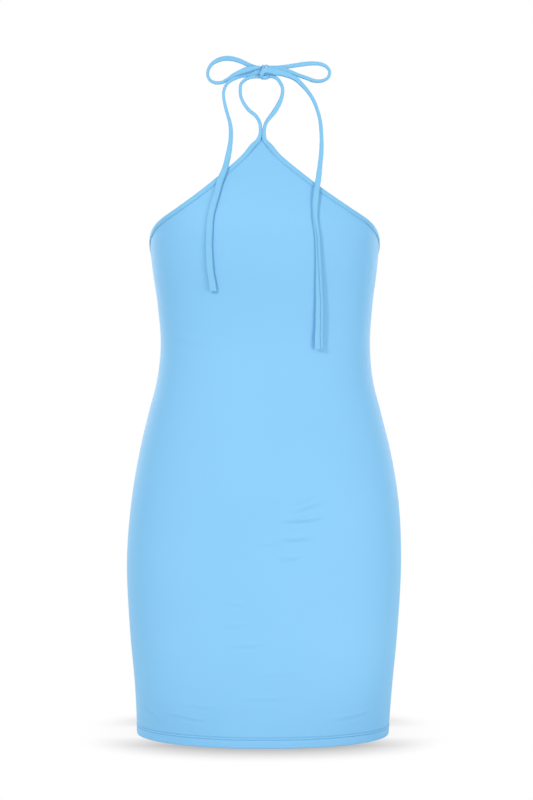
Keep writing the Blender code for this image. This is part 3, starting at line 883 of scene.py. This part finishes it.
TIE_LEFT = [
    (-4.5, -1, 8.6), (-8.5, -1.2, 8.4), (-15.5, 0.8, 7.6), (-22, 1, 5.8), (-29, 0.2, 3.8),
    (-34.5, -1.5, 1), (-39, -3.3, -1.6), (-44.5, -4.3, -6), (-48.5, -4.6, -14), (-49, -6, -23),
    (-47.5, -8.4, -32),
    (-44.5, -12, -44), (-41.5, -16, -54.5), (-40, -20.5, -65), (-40, -26, -76),
    (-41.5, -32, -90),
]
TIE_RIGHT = [
    (1.5, -3.3, 9.4), (7.5, -3.9, 9), (14, -3.9, 8.1), (20.5, -3.8, 6.8), (29, -3.7, 4.2),
    (38, -3.7, 0), (46.5, -4.5, -8), (54, -6, -17), (60, -8, -27), (64.5, -11, -39),
    (67.5, -14.5, -50.5), (69, -18, -63.5), (69.5, -22.5, -77.5), (69, -28, -93),
    (67.5, -33.5, -107), (66, -38.5, -119.5),
]
# x, z, distance of the tie's middle from the cloth
TIE_LEFT_ON_FRONT = [
    (-44.7, -106, 3.8), (-47, -115, 3.7), (-52, -128, 2.7), (-56.5, -145.5, 2.2),
    (-61, -161, 2.1), (-64, -176.5, 2.1), (-65, -191.5, 2.2), (-65.5, -206.5, 2.6),
    (-65, -222, 3), (-64, -237, 3.4), (-62, -250, 3.6), (-60.5, -261.5, 3.8),
]
TIE_RIGHT_ON_FRONT = [
    (64, -133.5, 4.4), (62.5, -142.5, 4), (61, -157, 2.8), (61, -176.5, 2.8),
    (63, -191.5, 3), (64.5, -214.5, 3.4), (65.5, -240.5, 4), (66, -259.5, 4.5),
    (66.6, -278.5, 5), (66.4, -297.5, 5.5), (66, -316.5, 5.9), (66, -330.2, 6.2),
]
# share of the length, width, thickness, roll in degrees, how far the back leaf shows
LOOP_LEFT_SIZES = [
    (0, 4.8, 3.8, 0, 0.3), (0.1, 5.4, 3.2, 8, 0.3), (0.2, 5.8, 2.8, 14, 0.5),
    (0.35, 5.6, 2.6, 16, 0.5), (0.46, 4, 3.2, 0, 0.3), (0.52, 3.7, 3.4, 0, 0.3),
    (0.62, 4.2, 3, -8, 0.3), (0.75, 4.6, 2.8, -10, 0.5), (0.82, 5.8, 2.8, -10, 0.4),
    (0.88, 6.8, 2.8, -12, 0.4), (0.93, 5.6, 3, -8, 0.4), (1, 4, 3.4, 0, 0.3),
]
LOOP_RIGHT_SIZES = [
    (0, 4.8, 3.8, 0, 0.3), (0.1, 5.4, 3.4, 8, 0.3), (0.2, 5.8, 2.8, 14, 0.5),
    (0.35, 5.6, 2.6, 16, 0.5), (0.46, 4, 3.2, 0, 0.3), (0.52, 3.7, 3.4, 0, 0.3),
    (0.62, 4.4, 3, -8, 0.3), (0.78, 5, 2.8, -14, 0.5), (0.9, 5, 3.2, -8, 0.3),
    (1, 4.8, 3.6, 0, 0.3),
]
TIE_LEFT_SIZES = [
    (0, 7.6, 3.2, 0, 0.3), (0.015, 7.6, 3, 0, 0.3), (0.04, 7.2, 2.8, 0, 0.3),
    (0.065, 6.6, 2.8, 6, 0.3), (0.09, 5.2, 2.8, 10, 0.3), (0.12, 4.2, 2.8, 10, 0.3),
    (0.2, 3.9, 2.6, 8, 0.3),
    (0.4, 5.6, 2, 0, 0.4), (0.52, 7.8, 1.8, -5, 0.4), (0.7, 8.2, 1.7, -5, 0.4),
    (0.9, 8.2, 1.7, 3, 0.4), (0.97, 8.4, 1.7, 3, 0.4), (1, 8.8, 1.8, 0, 0.4),
]
TIE_RIGHT_SIZES = [
    (0, 8.2, 3.6, 0, 0.3), (0.02, 8.6, 3.4, 0, 0.3), (0.055, 7.6, 3.4, 6, 0.3),
    (0.09, 6.2, 3.2, 10, 0.4), (0.13, 5.2, 2.9, 10, 0.4), (0.4, 5.6, 2.4, 0, 0.4),
    (0.5, 7.2, 2.1, -6, 0.4), (0.56, 7.2, 2, -6, 0.6), (0.6, 6, 2.4, 0, 1.4),
    (0.64, 5.8, 3, -8, 2.4), (0.727, 6.6, 3, -10, 3.2), (0.8, 8.2, 2.9, -10, 5),
    (0.85, 9, 2.8, -8, 5.8), (0.92, 9.4, 2.6, -6, 6.2), (0.975, 9.8, 2.4, 0, 6.8),
    (1, 10.4, 2.2, 0, 7.4),
]
SLOT = 0.12  # half the gap between the two leaves
SLOT_DEPTH = 1.6
SEWN_FROM_EDGE = 1.3  # the stitches' distance from the edge of the front leaf
STRAP_STEP = 0.9  # from one station of a strap to the next
END_TURN = 4.5  # length of cloth that is turned under at a tie's end


def front_place(x, z, clear):
    """Point in front of the front panel at x and z, its distance measured along Y,
    and the direction in which the cloth faces there."""
    turn = np.radians(np.linspace(-88.0, 88.0, 353))
    points = body_point(turn, np.full_like(turn, z - HEM_Z))
    y = np.interp(x, points[:, 0], points[:, 1])
    here = np.interp(x, points[:, 0], turn)
    return (x, y - clear, z), body_normal(here, z - HEM_Z)


def arc(across, deep, radius, degrees):
    """Points of a round edge: its middle plus its radius, turned by each angle."""
    turn = np.radians(degrees)
    return across + radius * np.cos(turn), deep + radius * np.sin(turn)


def strap_section(width, thick, shows, run):
    """Folded strap for each station: a round fold at one side, a front leaf that ends at a
    round edge, a slot, and a back leaf that reaches further by what shows. The front leaf
    bulges as half a sine wave, and dips as a bell along its stitches."""
    half = 0.5 * width[:, None]
    r = 0.5 * thick[:, None]
    flat = 0.0 * half
    leaf = 0.5 * (r - SLOT)
    fold_at = r - half
    front_end = half - shows[:, None]
    share = np.linspace(0.08, 1.0, 11)
    front_across = fold_at + (front_end - leaf - fold_at) * share
    pull = 0.75 + 0.25 * np.cos(2.0 * np.pi * run[:, None] / STITCH)
    dip = 0.16 * pull * np.exp(-((front_end - front_across - SEWN_FROM_EDGE) / 0.45)**2)
    slot_in = np.maximum(front_end - leaf - SLOT_DEPTH, 0.9 * r - half)
    back_across = fold_at + (half - leaf - fold_at) * np.linspace(1.0, 0.1, 8)
    outline = [
        arc(fold_at, 0.0, r, [262, 225, 180, 135, 98]),
        (front_across, r + 0.10 * np.sin(np.pi * share) - dip),
        arc(front_end - leaf, SLOT + leaf, leaf, [60, 20, -20, -60]),
        (slot_in, flat + SLOT),
        (slot_in, flat - SLOT),
        (0.5 * (front_end + half) - leaf, flat - 0.9 * SLOT),
        arc(half - leaf, -SLOT - leaf, leaf, [60, 20, -20, -60]),
        (back_across, -r + 0.0 * back_across),
    ]
    return [np.concatenate(side, axis=1) for side in zip(*outline)]


def soft_strap(name, route, sizes, stands_for, resting=(), sewn_end=False, fold_side=-1.0):
    """Folded strap along its route, free first and then lying on the front. A sewn end is
    double for its last few millimetres, with a groove where it is stitched across."""
    points = [tuple(p) for p in route]
    facing = [(0.0, -1.0, 0.0)] * len(route)
    for x, z, clear in resting:
        place, normal = front_place(x, z, clear)
        points.append(place)
        facing.append(tuple(normal))
    stations, middle, along, across, deep = smooth_route(points, facing, STRAP_STEP)
    share = stations / stations[-1]
    width, thick, roll, shows = read_sizes(share, sizes)
    width = width * (1.0 + 0.025 * np.sin(stations / 5.3) + 0.015 * np.sin(stations / 2.1 + 1.0))
    if sewn_end:
        from_end = stations[-1] - stations
        doubled = 0.45 / (1.0 + np.exp(np.minimum((from_end - END_TURN) * 4.0, 50.0)))
        sewn = 0.6 * np.exp(-((from_end - 0.7 * END_TURN) / 0.7)**2)
        thick = (thick * (1.0 + doubled) - sewn) * np.sqrt(np.clip(from_end / 1.6 + 0.3, 0.0, 1.0))
    across, deep = turned(across, deep, roll)
    downward = -np.sign(np.sum(along[:, 2]))
    across = across * fold_side * downward
    section = strap_section(width, thick, shows, stations)
    made = sweep(name, middle, across, deep, *section, strap_jersey, "strap_jersey", stands_for)
    return Strip(made, stations, middle, across, deep, width, thick, shows)


# %% Loops and ties
loop_left = soft_strap("bow_loop_left_strap", LOOP_LEFT, LOOP_LEFT_SIZES, ["bow_loop_left"])
loop_right = soft_strap("bow_loop_right_strap", LOOP_RIGHT, LOOP_RIGHT_SIZES, ["bow_loop_right"])
tie_left = soft_strap("tie_left_strap", TIE_LEFT, TIE_LEFT_SIZES, ["tie_end_left"],
                      TIE_LEFT_ON_FRONT, sewn_end=True)
tie_right = soft_strap("tie_right_strap", TIE_RIGHT, TIE_RIGHT_SIZES, ["tie_end_right"],
                       TIE_RIGHT_ON_FRONT, sewn_end=True, fold_side=1.0)

# %% [markdown]
# The knot
#
# The knot is a small lump of strap pulled tight, with one turn of strap over its front.
# A lump with soft spiral ridges fills it, and short tubes make the turn that shows, the
# roll below it and the end of cloth that stands up on top.

# %% Knot
KNOT_MIDDLE = np.array([1.2, 0.4, 8.0])
KNOT_HALF = np.array([5.6, 4.4, 6.6])


def knot_lump(rows=28, sides=40):
    """Ball with flattened sides, its surface raised in slanting ridges like wound cloth."""
    v = np.linspace(0.02, np.pi - 0.02, rows)[:, None]
    u = np.linspace(0.0, 2.0 * np.pi, sides, endpoint=False)[None, :]
    ball = np.stack([np.sin(v) * np.cos(u), np.sin(v) * np.sin(u), np.cos(v) + 0.0 * u], axis=-1)
    ball = ball / (np.sum(np.abs(ball)**2.8, axis=-1, keepdims=True)**(1.0 / 2.8))
    ridges = 1.0 + 0.05 * np.sin(3.0 * u + 4.0 * v) * np.sin(v)
    return KNOT_MIDDLE + ball * KNOT_HALF * ridges[..., None]


lump = knot_lump()
lump_faces = [f[::-1] for f in loft_faces(*lump.shape[:2])]
piece("bow_knot_core", lump, lump_faces, strap_jersey, ["bow_knot"], lump[..., [0, 2]])

KNOT_TURN = [
    (-2.2, 0.6, 1.4), (-2.6, -3.8, 1.6), (-2.6, -5.8, 4), (-1.9, -6.6, 6.6), (0.2, -7, 8.8),
    (3.6, -6.8, 9.6), (8, -6, 9.2), (12, -4.6, 8.6),
]
KNOT_TURN_SIZES = [
    (0, 4, 2.4, 0, 0.3), (0.3, 4.8, 2.6, 0, 0.3), (0.5, 6.2, 2.6, 0, 0.3),
    (0.7, 7.6, 2.4, 0, 0.3), (1, 7.8, 2, 0, 0.3),
]
KNOT_ROLL = [(-3.6, 1, 2.4), (-2, -2.4, 1.5), (1, -4, 1.1), (4, -2.8, 1.6), (6, 0.4, 3)]
KNOT_ROLL_SIZES = [(0, 3.4, 3, 0, 0.2), (0.5, 4.8, 4, 0, 0.3), (1, 3.6, 3, 0, 0.2)]
KNOT_END = [
    (-3.2, 0.8, 13), (-2.8, -1.8, 14.8), (-1.2, -2.8, 15.9), (0.6, -2.6, 15.3), (2.4, -2.8, 16),
    (4.4, -2.4, 15.7), (6, 0.2, 13.8),
]
KNOT_END_SIZES = [(0, 1.9, 1.2, 0, 0.2), (0.5, 2.2, 1.2, 0, 0.2), (1, 1.8, 1.1, 0, 0.2)]
soft_strap("knot_turn", KNOT_TURN, KNOT_TURN_SIZES, [])
soft_strap("knot_roll", KNOT_ROLL, KNOT_ROLL_SIZES, [])
soft_strap("knot_end", KNOT_END, KNOT_END_SIZES, [])

# %% [markdown]
# Stitches
#
# Each stitch is a short thread that rises out of the cloth and goes down again. All the
# stitches of a row are one mesh, made from arrays: a small bent tube, repeated at even
# steps along the row.

# %% Rows of stitches
THREAD = 0.27  # half the thickness of the thread
STITCH_SHOWS = 0.78  # share of a stitch that lies on top


def stitch_row(name, middle, along, facing, lift, finish=thread, size=THREAD):
    """Row of stitches: for every stitch, rings of six points along a low arch that sinks
    into the cloth at both ends. The rings shrink there, and lids close them."""
    stations = np.array([-0.5, -0.42, -0.2, 0.0, 0.2, 0.42, 0.5]) * STITCH * STITCH_SHOWS
    arch = np.array([-0.9, -0.35, 0.35, 0.5, 0.35, -0.35, -0.9]) * size
    radius = np.array([0.5, 0.85, 1.0, 1.05, 1.0, 0.85, 0.5]) * size
    turn = np.linspace(0.0, 2.0 * np.pi, 6, endpoint=False)
    side = unit(np.cross(facing, along))
    centre = (middle[:, None, :] + along[:, None, :] * stations[None, :, None]
              + facing[:, None, :] * (lift + arch)[None, :, None])
    ring = (side[:, None, None, :] * np.cos(turn)[None, None, :, None]
            + facing[:, None, None, :] * np.sin(turn)[None, None, :, None])
    points = centre[:, :, None, :] + ring * radius[None, :, None, None]
    count, rings, sides = points.shape[:3]
    *walls, first, last = loft_faces(rings, sides)
    shift = np.arange(count) * rings * sides
    quads = (np.array(walls) + shift[:, None, None]).reshape(-1, 4).tolist()
    ends = [[k + int(s) for k in lid] for s in shift for lid in (first, last)]
    cloth_map = points.reshape(-1, 3)[:, [0, 2]]
    return piece(name, points, quads + ends, finish, (), cloth_map)


def along_row(points, normals):
    """Middles of the stitches, evenly spaced on a line of points, with their directions."""
    length = run_along(points)
    count = int(length[-1] / STITCH)
    at = (np.arange(count) + 0.5) * length[-1] / count
    along = unit(read_line(at + 0.3, length, points) - read_line(at - 0.3, length, points))
    return read_line(at, length, points), along, unit(read_line(at, length, normals))


def sewn_line(strip, place, lift, first, last):
    """Stitches along a strip, at a place across it and a height above its middle."""
    line = strip.middle + strip.across * place[:, None] + strip.deep * lift[:, None]
    return along_row(line[first:last], strip.deep[first:last])


threads = {}
for name, panel in (("front", front), ("back", back)):
    rows = threads[panel.made.name] = []
    for k, level in enumerate(HEM_ROWS):
        row = int(np.argmin(np.abs(panel.heights[:, 0] - level)))
        line = along_row(panel.out[row, 2:-2], panel.normal[row, 2:-2])
        rows.append(stitch_row(f"hem_stitches_{name}_{k}", *line, 0.05))
for name, strip, last in (("left", neck_left, -14), ("right", neck_right, -14),
                          ("back", back_bound, -4)):
    lift = 0.5 * strip.thick * 0.98 - BIND_GROOVE
    line = sewn_line(strip, BIND_GROOVE_AT * 0.5 * strip.width, lift, 4, last)
    threads[strip.made.name] = [stitch_row(f"binding_stitches_{name}", *line, 0.05)]

# %% Stitches along the straps of the bow
STRAP_THREAD = 0.16  # half the thickness of the straps' thread
for strap, last in ((loop_left, -52), (loop_right, -6), (tie_left, -6), (tie_right, -6)):
    place = 0.5 * strap.width - strap.shows - SEWN_FROM_EDGE
    line = sewn_line(strap, place, 0.5 * strap.thick - 0.10, 6, last)
    name = strap.made.name
    threads[name] = [stitch_row(f"{name}_stitches", *line, 0.02, strap_thread, STRAP_THREAD)]

# %% [markdown]
# Surface of each cloth
#
# The panels are cut about 4 % smaller each way than they measure on the body, because the
# jersey is stretched over it. The binding is a single strip, folded over the edge. The cut
# sizes of the panels are listed but not used: the script prints the surface of each piece
# as it stands.


def half_surface(made):
    """Half of a closed piece's surface, in square metres."""
    mesh = made.data
    area = np.empty(len(mesh.polygons))
    mesh.polygons.foreach_get("area", area)
    return 0.5 * float(area.sum())


for made, flat in ((front.made, (0.46, 0.73)), (back.made, (0.46, 0.60))):
    area = half_surface(made)
    print(made.name, "square metres:", round(area, 4))
for strip in (neck_left, neck_right, back_bound):
    name = strip.made.name
    print(name, "length, mm:", round(strip.run[-1]), "half surface:", round(half_surface(strip.made), 5))
